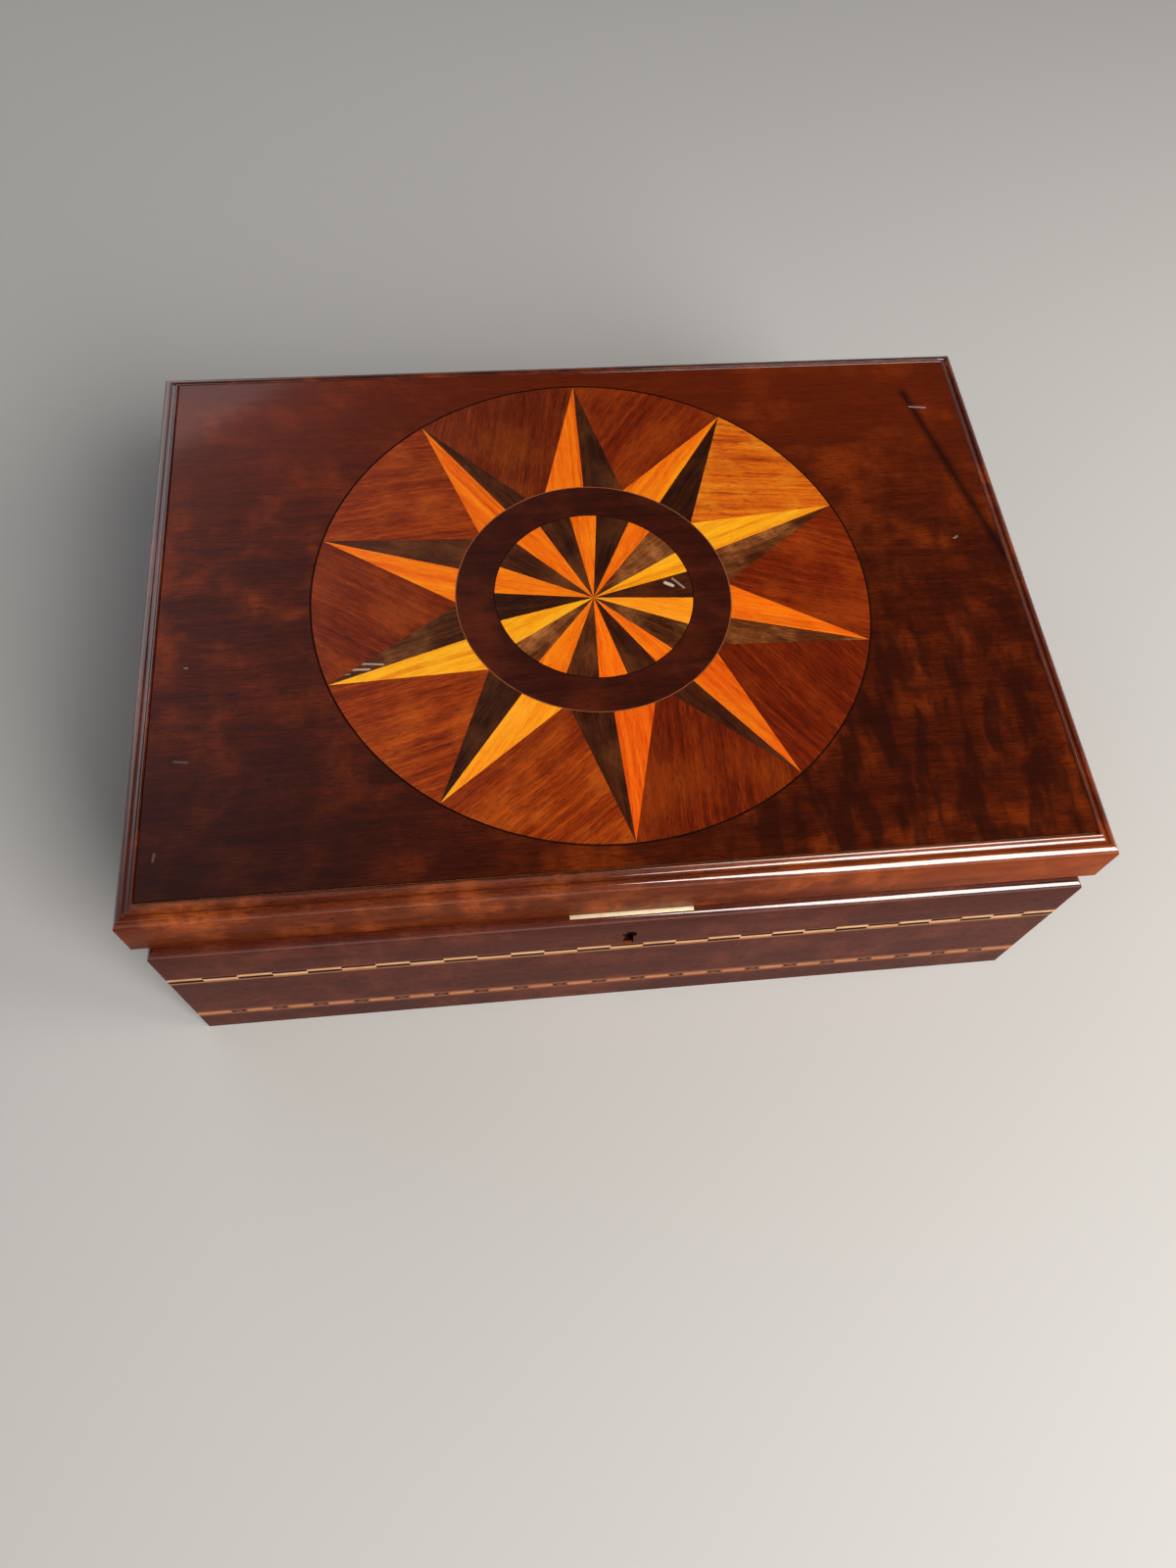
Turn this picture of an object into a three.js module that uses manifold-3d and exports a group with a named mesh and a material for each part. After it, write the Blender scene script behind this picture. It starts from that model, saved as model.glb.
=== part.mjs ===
// Keyed marquetry box: a mahogany carcase with inlaid bands, a hinged lid whose panel
// carries a ten-point parquetry star, a pair of brass butt hinges and a brass box lock.
// Millimetres, +Z up, +X to the right, +Y to the back. The origin is the centre of the
// footprint, hinge knuckles included, on the plane that the box stands on.
import * as THREE from 'three';
import { mergeVertices } from 'three/addons/utils/BufferGeometryUtils.js';
import Module from 'manifold-3d';

const wasm = await Module();
wasm.setup();

// Driving dimensions
const LID_WIDTH = 305;            // across the frieze, 12 inches
const LID_DEPTH = 217.5;          // front to back
const HEIGHT = 99.3;              // whole box
const LID_HEIGHT = 21.3;          // panel to rim
const SEAM = 0.3;                 // between the rims when shut
const OVERHANG = 4.2;             // lid beyond the base at each side
const LEDGE = 3.1;                // base in front of the lid
const WALL = 10;                  // carcase and lid rail thickness
const REBATE = 4;                 // walls over the bottom board
const BOTTOM = 6;                 // bottom board thickness
const GAP = 0.3;                  // clearance between fitted pieces
const KNUCKLE_R = 2.3;            // hinge knuckle radius
const KNUCKLE_OUT = 1.2;          // hinge axis behind the back face

// Lid panel
const MOULDING = 6.6;             // frieze to panel edge
const MOULDING_DROP = 2.7;        // panel down to the top of the frieze
const BOARD = 7;                  // groundwork board thickness
const VENEER = 1;                 // sawn veneer thickness
const STAR_X = -2;                // star centre from the lid's middle
const STAR_R = 95.4;              // circle that holds the star
const RING_AHEAD = 1.4;           // ring centre in front of the star's
const RING_OUT = 47.1;
const RING_IN = 33.8;
const POINTS = 10;
const FIRST_POINT = 90.9;         // degrees, then one every 36 degrees clockwise
const TURNS = [-2, -0.5, 1, 1, 1, 1, -0.5, 1, 1, -1];   // each point off its even place
const LIGHT_HALF = 17;            // degrees at the ring
const DARK_HALVES = [17, 17, 17, 14, 11, 17, 17, 17, 17, 11];
const TIP_BACK = 1.2;             // point tips stop short of the circle
const RIM_STEPS = 72;             // chords in a full circle of marquetry

// Corners of the lid moulding: distance in from the frieze, and drop below the panel
const LIP = { across: 1.1, drop: 1.8 };
const HOLLOW = { across: 3.2, drop: 2 };
const RISE = { across: 4.2, drop: 1 };
const CROWN = { across: 4.9, drop: 0.3 };
const CREST = { across: 5.9, drop: 0.35 };
const QUIRK_DROP = 0.6;

// Inlaid bands
const BAND = 6;                   // height of an inlaid band
const BAND_THICK = 1;
const UPPER_BAND_DOWN = 24.4;     // band centre below the base's rim
const LOWER_BAND_DOWN = 61.2;

// Lock, measured from the base's front face and rim
const SELVEDGE_LENGTH = 39.4;
const SELVEDGE_THICK = 1.6;
const SELVEDGE_IN = 2;            // behind the front face
const LOCK_PLATE = 1.2;           // thickness of the upright plate
const LOCK_DROP = 26;             // upright plate below the rim
const CASE_HALF = 15.5;           // half length of the case
const CASE_SHEET = 1;
const CASE_FRONT = 3.3;           // case behind the front face
const CASE_DROP = 23.5;
const PIN_DOWN = 12.8;            // drill pin below the rim
const PIN_R = 1.25;
const PIN_IN = 1.5;               // its tip behind the front face
const KEYHOLE_R = 2.5;
const KEYHOLE_DROP = 21.4;        // foot of the keyhole below the rim
const KEYHOLE_FOOT = 4.2;         // width of its foot
const KEYHOLE_NECK = 38;          // degrees from straight down to where the foot starts
const EYE_X = 7;                  // link eyes each side of the middle
const EYE_THICK = 1.8;
const EYE_DEPTH = 3.4;
const EYE_DROP = 7.2;             // below the rim
const EYE_WALL = 0.8;             // metal each side of the hole in an eye
const EYE_SILL = 1.25;            // metal below the hole
const EYE_HOLE = 3.6;             // height of the hole
const LINK_HALF = 14;             // half length of the link plate
const LINK_DEPTH = 4.6;
const LINK_THICK = 1.2;
const LINK_SCREW_X = 11.2;
const LOCK_MID = 6.8;             // middle of the bolt behind the front face
const BOLT_THICK = 1.2;
const BOLT_TRAVEL = 4;            // to the right, into the eyes
const BOLT_DOWN = 10.75;          // underside of the bolt below the rim
const BOLT_HEIGHT = 3;
const BOLT_NOTCH = 1.3;           // depth of the key's notch in its underside
const BOLT_NOTCH_HALF = 3;
const HOOK_UNDER = 5.4;           // hooks, below the rim
const HOOK_OVER = 2.9;
const HOOK_STEM = 1.6;
const LEVER = [                   // its corners to the right of the drill pin and above it
  [-13.4, -5.8], [-9.6, -5.8], [-4.2, 1.6], [5, 1.6], [5, 3.8], [-7, 3.8], [-13.4, -1.4],
];
const LEVER_THICK = 0.8;
const PIVOT_X = -11.5;
const PIVOT_DOWN = 16.6;
const PIVOT_R = 1;
const SPRING_THICK = 0.35;
const SPRING_WIDTH = 0.6;
const SPRING_FOOT = 8.65;         // its ends below the rim
const SPRING_BOW = 7.2;
const SCREW_HEAD_R = 1.6;
const SCREW_R = 0.9;
const SCREW_LENGTH = 8;
const SELVEDGE_SCREW_X = 17.4;

// Hinges
const HINGE_X = 95;               // centre of each hinge
const HINGE_LENGTH = 38;
const LEAF_THICK = 1.35;
const LEAF_WIDTH = 7.5;           // let into the rim
const HINGE_PIN_R = 1;
const RUNNING = 0.05;             // radial clearance of the moving knuckles

// Places worked out from them
const BASE_WIDTH = LID_WIDTH - 2 * OVERHANG;
const BASE_DEPTH = LID_DEPTH + LEDGE;
const FRONT = -(BASE_DEPTH + KNUCKLE_OUT + KNUCKLE_R) / 2;
const BACK = FRONT + BASE_DEPTH;
const LID_FRONT = FRONT + LEDGE;
const LID_MID = (LID_FRONT + BACK) / 2;
const RIM = HEIGHT - LID_HEIGHT - SEAM;
const LID_RIM = RIM + SEAM;
const HALF_BASE = BASE_WIDTH / 2;
const BOARD_TOP = HEIGHT - VENEER;
const BOARD_FLOOR = BOARD_TOP - BOARD;
const PLATE_Y = FRONT + WALL - LOCK_PLATE;
const LOCK_Y = FRONT + LOCK_MID;
const AXIS_Y = BACK + KNUCKLE_OUT;
const AXIS_Z = RIM + SEAM / 2;
const PIN_Z = RIM - PIN_DOWN;
const STAR = new THREE.Vector2(STAR_X, LID_MID);
const RING = new THREE.Vector2(STAR_X, LID_MID - RING_AHEAD);

// Looks of each material, for a preview
const FINISH = {
  mahogany: { color: 0x5a2718, roughness: 0.3 },
  flame: { color: 0x471a10, roughness: 0.22 },
  sector: { color: 0x7a3518, roughness: 0.22 },
  satinwood: { color: 0xd98433, roughness: 0.22 },
  rosewood: { color: 0x3c2317, roughness: 0.22 },
  ring: { color: 0x32100b, roughness: 0.22 },
  boxwood: { color: 0xd9a878, roughness: 0.35 },
  pine: { color: 0x9a6a42, roughness: 0.6 },
  brass: { color: 0xb99a52, roughness: 0.35, metalness: 1 },
  steel: { color: 0x8a8884, roughness: 0.4, metalness: 1 },
};

const box = new THREE.Group();

function place(name, solid, finish) {
  const mesh = new THREE.Mesh(solid, new THREE.MeshStandardMaterial(FINISH[finish]));
  mesh.name = name;
  box.add(mesh);
}

// Shapes

const REACH = 1;                  // cutters run this far past the face they open

function block(x0, x1, y0, y1, z0, z1) {
  const solid = new THREE.BoxGeometry(Math.abs(x1 - x0), y1 - y0, z1 - z0);
  return solid.translate((x0 + x1) / 2, (y0 + y1) / 2, (z0 + z1) / 2);
}

// A flat outline in X and Y, as thick as from z0 to z1.
function slab(outline, z0, z1, holes = []) {
  const shape = new THREE.Shape(outline);
  shape.holes = holes.map((hole) => new THREE.Path(hole));
  const solid = new THREE.ExtrudeGeometry(shape, { depth: z1 - z0, bevelEnabled: false });
  return solid.translate(0, 0, z0);
}

// An outline in X and Z, as deep as from y0 to y1.
function slabThroughY(outline, y0, y1, holes = []) {
  return slab(outline, 0, y1 - y0, holes).rotateX(Math.PI / 2).translate(0, y1, 0);
}

// An outline in Y and Z, as long as from x0 to x1.
function slabThroughX(outline, x0, x1, holes = []) {
  const turn = new THREE.Matrix4().set(0, 0, 1, 0, 1, 0, 0, 0, 0, 1, 0, 0, 0, 0, 0, 1);
  return slab(outline, x0, x1, holes).applyMatrix4(turn);
}

function points(...pairs) {
  return pairs.map(([x, y]) => new THREE.Vector2(x, y));
}

function rectangle(x0, x1, y0, y1) {
  return points([x0, y0], [x1, y0], [x1, y1], [x0, y1]);
}

function rodAlongX(radius, x0, x1, y, z, sides = 20) {
  const solid = new THREE.CylinderGeometry(radius, radius, x1 - x0, sides).rotateZ(Math.PI / 2);
  return solid.translate((x0 + x1) / 2, y, z);
}

function rodAlongY(radius, y0, y1, x, z, sides = 20) {
  const solid = new THREE.CylinderGeometry(radius, radius, y1 - y0, sides);
  return solid.translate(x, (y0 + y1) / 2, z);
}

// A countersunk wood screw with its head's face at z; way is -1 when it points down.
function screw(x, z, way, clearance = 0) {
  const head = SCREW_HEAD_R + clearance;
  const shank = SCREW_R + clearance;
  const over = clearance > 0 ? REACH : 0;
  const profile = points([0, -SCREW_LENGTH - clearance], [shank * 0.5, -SCREW_LENGTH - clearance],
    [shank, -SCREW_LENGTH + shank], [shank, -head], [head, -0.3], [head, over], [0, over]);
  const solid = new THREE.LatheGeometry(profile, 16).rotateX(Math.PI / 2);
  return (way < 0 ? solid : solid.rotateX(Math.PI)).translate(x, LOCK_Y, z);
}

function polar(centre, radius, degrees) {
  const turn = THREE.MathUtils.degToRad(degrees);
  return new THREE.Vector2(radius, 0).rotateAround(new THREE.Vector2(), turn).add(centre);
}

function arc(centre, radius, from, to, steps) {
  return Array.from({ length: steps + 1 }, (_, i) => polar(centre, radius, from + (to - from) * i / steps));
}

function circle(centre, radius, steps = RIM_STEPS) {
  return arc(centre, radius, 0, 360, steps).slice(0, -1);
}

// Moves every side of an anticlockwise outline inwards by the same amount.
function inset(outline, amount) {
  return outline.map((point, i) => {
    const incoming = point.clone().sub(outline.at(i - 1)).normalize();
    const outgoing = outline[(i + 1) % outline.length].clone().sub(point).normalize();
    const normal = new THREE.Vector2(-incoming.y, incoming.x);
    const bisector = normal.clone().add(new THREE.Vector2(-outgoing.y, outgoing.x)).normalize();
    return point.clone().addScaledVector(bisector, amount / bisector.dot(normal));
  });
}

// Cutting and joining

function toManifold(geometry) {
  const bare = geometry.clone();
  bare.deleteAttribute('normal');
  bare.deleteAttribute('uv');
  const welded = mergeVertices(bare, 1e-4);
  return new wasm.Manifold(new wasm.Mesh({
    numProp: 3,
    vertProperties: Float32Array.from(welded.attributes.position.array),
    triVerts: Uint32Array.from(welded.index.array),
  }));
}

function toGeometry(solid) {
  const mesh = solid.getMesh();
  const geometry = new THREE.BufferGeometry();
  geometry.setAttribute('position', new THREE.BufferAttribute(mesh.vertProperties, 3));
  geometry.setIndex(new THREE.BufferAttribute(mesh.triVerts, 1));
  geometry.computeVertexNormals();
  return geometry;
}

function cut(geometry, ...tools) {
  return toGeometry(tools.reduce((solid, tool) => solid.subtract(toManifold(tool)), toManifold(geometry)));
}

function join(geometry, ...others) {
  return toGeometry(others.reduce((solid, other) => solid.add(toManifold(other)), toManifold(geometry)));
}

// Room for the hinges in a rim, from z0 to z1.
function hingeRoom(z0, z1) {
  const half = HINGE_LENGTH / 2 + GAP;
  return [-HINGE_X, HINGE_X].flatMap((x) => [
    block(x - half, x + half, BACK - LEAF_WIDTH - GAP, BACK + REACH, z0, z1),
    rodAlongX(KNUCKLE_R + GAP, x - half, x + half, AXIS_Y, AXIS_Z, 16),
  ]);
}

// A section in Y and Z run along X, with its outer face at y = 0 and a mitre at each end.
function mitred(section, length) {
  const solid = slabThroughX(section, -1, 1);
  const position = solid.attributes.position;
  for (let i = 0; i < position.count; i += 1) {
    const reach = length / 2 - position.getY(i) - GAP / Math.SQRT2;
    position.setX(i, Math.sign(position.getX(i)) * reach);
  }
  return solid;
}

// Four mitred pieces of one section round a rectangle that ends at the back face.
function frame(section, width, depth) {
  const middle = BACK - depth / 2;
  return {
    front: mitred(section, width).translate(0, BACK - depth, 0),
    back: mitred(section, width).rotateZ(Math.PI).translate(0, BACK, 0),
    left: mitred(section, depth).rotateZ(-Math.PI / 2).translate(-width / 2, middle, 0),
    right: mitred(section, depth).rotateZ(Math.PI / 2).translate(width / 2, middle, 0),
  };
}

function sides(width, depth, thickness, z0, z1) {
  return frame(rectangle(0, thickness, z0, z1), width, depth);
}

function keyhole(y0, y1) {
  const neck = THREE.MathUtils.degToRad(KEYHOLE_NECK);
  const outline = new THREE.Shape();
  outline.absarc(0, PIN_Z, KEYHOLE_R, neck - Math.PI / 2, Math.PI * 1.5 - neck);
  outline.lineTo(-KEYHOLE_FOOT / 2, RIM - KEYHOLE_DROP);
  outline.lineTo(KEYHOLE_FOOT / 2, RIM - KEYHOLE_DROP);
  return slabThroughY(outline.getPoints(8), y0, y1);
}

// Grooves for both bands in the outer face at that side: -1 left, 0 front, 1 right.
function bandGrooves(side) {
  const depth = BAND_THICK + GAP;
  return [UPPER_BAND_DOWN, LOWER_BAND_DOWN].map((down) => {
    const z0 = RIM - down - BAND / 2;
    if (side === 0) {
      return block(-HALF_BASE - REACH, HALF_BASE + REACH, FRONT - REACH, FRONT + depth, z0, z0 + BAND);
    }
    const x = side * (HALF_BASE + (REACH - depth) / 2);
    const half = (REACH + depth) / 2;
    return block(x - half, x + half, FRONT - REACH, BACK + REACH, z0, z0 + BAND);
  });
}

// Carcase

function carcase() {
  const inner = HALF_BASE - WALL;
  const lip = REBATE + GAP;
  const rebate = block(-inner - lip, inner + lip, FRONT + WALL - lip, BACK - WALL + lip, -REACH, BOTTOM);
  const selvedgeHalf = SELVEDGE_LENGTH / 2 + GAP;
  const inside = FRONT + WALL + REACH;
  const above = RIM + REACH;
  const lockRooms = [
    block(-CASE_HALF - GAP, CASE_HALF + GAP, FRONT + CASE_FRONT - GAP, inside, RIM - CASE_DROP - GAP, above),
    block(-selvedgeHalf, selvedgeHalf, PLATE_Y - GAP, inside, RIM - LOCK_DROP - GAP, above),
    block(-selvedgeHalf, selvedgeHalf, FRONT + SELVEDGE_IN - GAP, inside, RIM - SELVEDGE_THICK - GAP, above),
    screw(-SELVEDGE_SCREW_X, RIM, -1, GAP),
    screw(SELVEDGE_SCREW_X, RIM, -1, GAP),
    keyhole(FRONT - REACH, FRONT + WALL),
  ];

  place('bottom_board', block(-inner - REBATE, inner + REBATE, FRONT + WALL - REBATE, BACK - WALL + REBATE,
    0, BOTTOM), 'pine');
  const walls = sides(BASE_WIDTH, BASE_DEPTH, WALL, 0, RIM);
  const hingeRooms = hingeRoom(RIM - LEAF_THICK - GAP, above);
  place('front_wall', cut(walls.front, rebate, ...lockRooms, ...bandGrooves(0)), 'mahogany');
  place('back_wall', cut(walls.back, rebate, ...hingeRooms), 'mahogany');
  place('left_wall', cut(walls.left, rebate, ...bandGrooves(-1)), 'mahogany');
  place('right_wall', cut(walls.right, rebate, ...bandGrooves(1)), 'mahogany');
}

function bands() {
  for (const [level, down] of [['upper', UPPER_BAND_DOWN], ['lower', LOWER_BAND_DOWN]]) {
    const foot = RIM - down - (BAND - GAP) / 2;
    const strips = sides(BASE_WIDTH, BASE_DEPTH, BAND_THICK, foot, foot + BAND - GAP);
    for (const side of ['front', 'left', 'right']) {
      place(`${level}_band_${side}`, strips[side], 'boxwood');
    }
  }
}

// Lid

// A rail's section, as distance in from the frieze and height. Its thumb moulding runs from
// the frieze up to a quirk at the panel, and the board sits in the rebate.
function railSection() {
  const quirk = MOULDING - GAP;
  const foot = HEIGHT - MOULDING_DROP;
  const [top, bend, dip, crown, crest] = [LIP, HOLLOW, RISE, CROWN, CREST].map((corner) => (
    new THREE.Vector2(corner.across, HEIGHT - corner.drop)));
  const lip = new THREE.EllipseCurve(top.x, foot, top.x, top.y - foot, Math.PI, Math.PI / 2, true);
  const hollow = new THREE.QuadraticBezierCurve(top, bend, dip);
  const bead = new THREE.QuadraticBezierCurve(dip, crown, crest);
  return [
    ...points([WALL, BOARD_FLOOR], [WALL, LID_RIM], [0, LID_RIM]), ...lip.getPoints(4),
    ...hollow.getPoints(4).slice(1), ...bead.getPoints(3).slice(1),
    ...points([quirk, HEIGHT - QUIRK_DROP], [quirk, BOARD_FLOOR]),
  ];
}

function linkRoom() {
  const half = LINK_HALF + GAP;
  const deep = LINK_DEPTH / 2 + GAP;
  return [
    block(-half, half, LOCK_Y - deep, LOCK_Y + deep, LID_RIM - REACH, LID_RIM + LINK_THICK + GAP),
    screw(-LINK_SCREW_X, LID_RIM, 1, GAP),
    screw(LINK_SCREW_X, LID_RIM, 1, GAP),
  ];
}

function lidFrame() {
  const rails = frame(railSection(), LID_WIDTH, LID_DEPTH);
  const hingeRooms = hingeRoom(LID_RIM - REACH, LID_RIM + LEAF_THICK + GAP);
  place('lid_rail_front', cut(rails.front, ...linkRoom()), 'mahogany');
  place('lid_rail_back', cut(rails.back, ...hingeRooms), 'mahogany');
  place('lid_rail_left', rails.left, 'mahogany');
  place('lid_rail_right', rails.right, 'mahogany');
}

// The panel: a groundwork board, and the marquetry laid on it.
function panel() {
  const halfX = LID_WIDTH / 2 - MOULDING;
  const halfY = LID_DEPTH / 2 - MOULDING;
  const veneer = (name, outline, finish, holes = []) => {
    place(name, slab(outline, BOARD_TOP, HEIGHT, holes), finish);
  };
  const board = block(-halfX, halfX, LID_MID - halfY, LID_MID + halfY, BOARD_FLOOR, BOARD_TOP);
  place('lid_board', board, 'pine');
  veneer('panel_ground', rectangle(-halfX, halfX, LID_MID - halfY, LID_MID + halfY), 'flame',
    [circle(STAR, STAR_R + GAP / 2)]);

  const star = [];
  for (let i = 0; i < POINTS; i += 1) {
    const angle = FIRST_POINT - i * 360 / POINTS + TURNS[i];
    const tip = polar(STAR, STAR_R - TIP_BACK, angle);
    const light = [tip, ...arc(RING, RING_OUT, angle + LIGHT_HALF, angle, 4)];
    const dark = [tip, ...arc(RING, RING_OUT, angle, angle - DARK_HALVES[i], 4)];
    star.push(light[1], tip, dark.at(-1));
    veneer(`light_point_${i + 1}`, inset(light, GAP / 2), 'satinwood');
    veneer(`dark_point_${i + 1}`, inset(dark, GAP / 2), 'rosewood');
  }
  veneer('sector_field', circle(STAR, STAR_R - GAP / 2), 'sector', [inset(star.reverse(), -GAP / 2)]);
  veneer('ring', circle(RING, RING_OUT - GAP / 2), 'ring', [circle(RING, RING_IN + GAP / 2)]);
  veneer('rosette', circle(RING, RING_IN - GAP / 2), 'satinwood');
}

// Hinges

function knuckles(x, parts, radius, clearance) {
  const share = HINGE_LENGTH / 5;
  return parts.map((part) => {
    const start = x - HINGE_LENGTH / 2 + part * share;
    return rodAlongX(radius, start + clearance, start + share - clearance, AXIS_Y, AXIS_Z);
  });
}

function leaf(x, z0, z1, own, other) {
  const half = HINGE_LENGTH / 2;
  const plate = block(x - half, x + half, BACK - LEAF_WIDTH, AXIS_Y, z0, z1);
  const bore = rodAlongX(HINGE_PIN_R + RUNNING, x - half - REACH, x + half + REACH, AXIS_Y, AXIS_Z, 24);
  const cleared = cut(plate, ...knuckles(x, other, KNUCKLE_R + GAP, -GAP / 3));
  return cut(join(cleared, ...knuckles(x, own, KNUCKLE_R, GAP / 3)), bore);
}

function hinges() {
  for (const [name, x] of [['left', -HINGE_X], ['right', HINGE_X]]) {
    place(`hinge_${name}_base_leaf`, leaf(x, RIM - LEAF_THICK, RIM, [0, 2, 4], [1, 3]), 'brass');
    place(`hinge_${name}_lid_leaf`, leaf(x, LID_RIM, LID_RIM + LEAF_THICK, [1, 3], [0, 2, 4]), 'brass');
    place(`hinge_${name}_pin`, rodAlongX(HINGE_PIN_R, x - HINGE_LENGTH / 2, x + HINGE_LENGTH / 2,
      AXIS_Y, AXIS_Z, 24), 'steel');
  }
}

// Lock

function eyeAt(x) {
  const foot = RIM - EYE_DROP;
  const half = EYE_DEPTH / 2;
  const outline = points([LOCK_Y - half, LID_RIM + LINK_THICK / 2], [LOCK_Y - half, foot + half * 0.6],
    [LOCK_Y - half * 0.6, foot], [LOCK_Y + half * 0.6, foot], [LOCK_Y + half, foot + half * 0.6],
    [LOCK_Y + half, LID_RIM + LINK_THICK / 2]);
  const hole = rectangle(LOCK_Y - half + EYE_WALL, LOCK_Y + half - EYE_WALL, foot + EYE_SILL,
    foot + EYE_SILL + EYE_HOLE);
  return slabThroughX(outline, x - EYE_THICK / 2, x + EYE_THICK / 2, [hole]);
}

// Two hooks stand up from the bolt, one to the left of each eye, and reach for it.
function boltOutline() {
  const low = RIM - BOLT_DOWN;
  const top = low + BOLT_HEIGHT;
  const under = RIM - HOOK_UNDER;
  const over = RIM - HOOK_OVER;
  const stem = EYE_X + EYE_THICK / 2 + BOLT_TRAVEL + GAP;
  const tip = EYE_THICK / 2 + GAP * 1.5;
  const left = -stem - HOOK_STEM;
  const right = EYE_X + HOOK_STEM;
  const farStem = 2 * EYE_X - stem;
  const notch = BOLT_NOTCH_HALF - 1;
  return points([left, low], [-BOLT_NOTCH_HALF, low], [-notch, low + BOLT_NOTCH], [notch, low + BOLT_NOTCH],
    [BOLT_NOTCH_HALF, low], [right, low], [right, top], [farStem, top], [farStem, under],
    [EYE_X - tip, under], [EYE_X - tip, over], [farStem - HOOK_STEM, over], [farStem - HOOK_STEM, top],
    [-stem, top], [-stem, under], [-EYE_X - tip, under], [-EYE_X - tip, over], [left, over]);
}

function lock() {
  const half = SELVEDGE_LENGTH / 2;
  const slot = EYE_THICK / 2 + GAP * 1.5;
  const slotDeep = EYE_DEPTH / 2 + GAP * 1.5;
  const slots = [-EYE_X, EYE_X].map((x) => block(x - slot, x + slot, LOCK_Y - slotDeep, LOCK_Y + slotDeep,
    RIM - SELVEDGE_THICK - GAP, RIM + REACH));
  const selvedge = block(-half, half, FRONT + SELVEDGE_IN, FRONT + WALL, RIM - SELVEDGE_THICK, RIM);
  const upright = block(-half, half, PLATE_Y, FRONT + WALL, RIM - LOCK_DROP, RIM - SELVEDGE_THICK / 2);
  place('lock_plate', cut(join(selvedge, upright), ...slots, screw(-SELVEDGE_SCREW_X, RIM, -1, GAP),
    screw(SELVEDGE_SCREW_X, RIM, -1, GAP)), 'brass');

  const caseBack = PLATE_Y - GAP;
  const shell = block(-CASE_HALF, CASE_HALF, FRONT + CASE_FRONT, caseBack, RIM - CASE_DROP,
    RIM - SELVEDGE_THICK - GAP);
  const works = block(-CASE_HALF + CASE_SHEET, CASE_HALF - CASE_SHEET, FRONT + CASE_FRONT + CASE_SHEET,
    caseBack + REACH, RIM - CASE_DROP + CASE_SHEET, RIM);
  place('lock_cap', cut(shell, works, keyhole(FRONT, FRONT + CASE_FRONT + 2 * CASE_SHEET)), 'steel');

  const bolt = slabThroughY(boltOutline(), LOCK_Y - BOLT_THICK / 2, LOCK_Y + BOLT_THICK / 2);
  place('lock_drill_pin', rodAlongY(PIN_R, FRONT + PIN_IN, PLATE_Y, 0, PIN_Z, 16), 'steel');
  place('lock_bolt', bolt, 'brass');

  const leverY = LOCK_Y + BOLT_THICK / 2 + GAP;
  const pivot = new THREE.Vector2(PIVOT_X, RIM - PIVOT_DOWN);
  const hole = Array.from({ length: 12 }, (_, i) => polar(pivot, PIVOT_R + GAP, i * 30));
  const lever = points(...LEVER).map((corner) => corner.setY(corner.y + PIN_Z));
  place('lock_lever', slabThroughY(lever, leverY, leverY + LEVER_THICK, [hole]), 'brass');
  place('lock_lever_pivot', rodAlongY(PIVOT_R, LOCK_Y, PLATE_Y, pivot.x, pivot.y, 16), 'steel');

  const foot = RIM - SPRING_FOOT;
  const bow = new THREE.QuadraticBezierCurve(...points([-9, foot], [-2, RIM - SPRING_BOW], [5, foot]));
  const under = bow.getPoints(10);
  const over = under.map((p) => new THREE.Vector2(p.x, p.y + SPRING_THICK)).reverse();
  place('lock_spring', slabThroughY([...under, ...over], leverY, leverY + SPRING_WIDTH), 'steel');

  const link = block(-LINK_HALF, LINK_HALF, LOCK_Y - LINK_DEPTH / 2, LOCK_Y + LINK_DEPTH / 2, LID_RIM,
    LID_RIM + LINK_THICK);
  place('link_plate', cut(join(link, eyeAt(-EYE_X), eyeAt(EYE_X)), screw(-LINK_SCREW_X, LID_RIM, 1, GAP),
    screw(LINK_SCREW_X, LID_RIM, 1, GAP)), 'brass');

  for (const [name, side] of [['left', -1], ['right', 1]]) {
    place(`lock_screw_${name}`, screw(side * SELVEDGE_SCREW_X, RIM, -1), 'steel');
    place(`link_screw_${name}`, screw(side * LINK_SCREW_X, LID_RIM, 1), 'steel');
  }
}

carcase();
bands();
lidFrame();
panel();
hinges();
lock();

export default box;
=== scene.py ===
"""A keyed marquetry box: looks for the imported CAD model, in metres, in its own frame."""
import math

import bmesh
import bpy
from mathutils import Euler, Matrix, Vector


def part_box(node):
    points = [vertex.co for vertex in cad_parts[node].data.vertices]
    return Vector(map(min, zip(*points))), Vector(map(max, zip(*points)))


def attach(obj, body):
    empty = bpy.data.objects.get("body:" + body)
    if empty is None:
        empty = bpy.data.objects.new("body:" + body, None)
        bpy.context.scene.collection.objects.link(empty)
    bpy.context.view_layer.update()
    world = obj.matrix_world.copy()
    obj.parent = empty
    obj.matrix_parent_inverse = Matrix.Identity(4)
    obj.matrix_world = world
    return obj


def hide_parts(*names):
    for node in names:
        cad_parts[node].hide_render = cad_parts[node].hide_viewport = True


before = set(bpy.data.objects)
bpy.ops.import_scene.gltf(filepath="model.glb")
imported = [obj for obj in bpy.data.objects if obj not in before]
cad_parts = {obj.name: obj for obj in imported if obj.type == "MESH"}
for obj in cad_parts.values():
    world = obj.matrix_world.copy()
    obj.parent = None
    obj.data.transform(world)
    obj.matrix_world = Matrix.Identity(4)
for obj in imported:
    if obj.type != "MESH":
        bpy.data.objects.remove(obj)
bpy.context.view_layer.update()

MM = 0.001
HALF_GAP = 0.15 * MM             # half the gap that the CAD leaves round a fitted piece


# ---------------------------------------------------------------- places, from the frame

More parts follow.
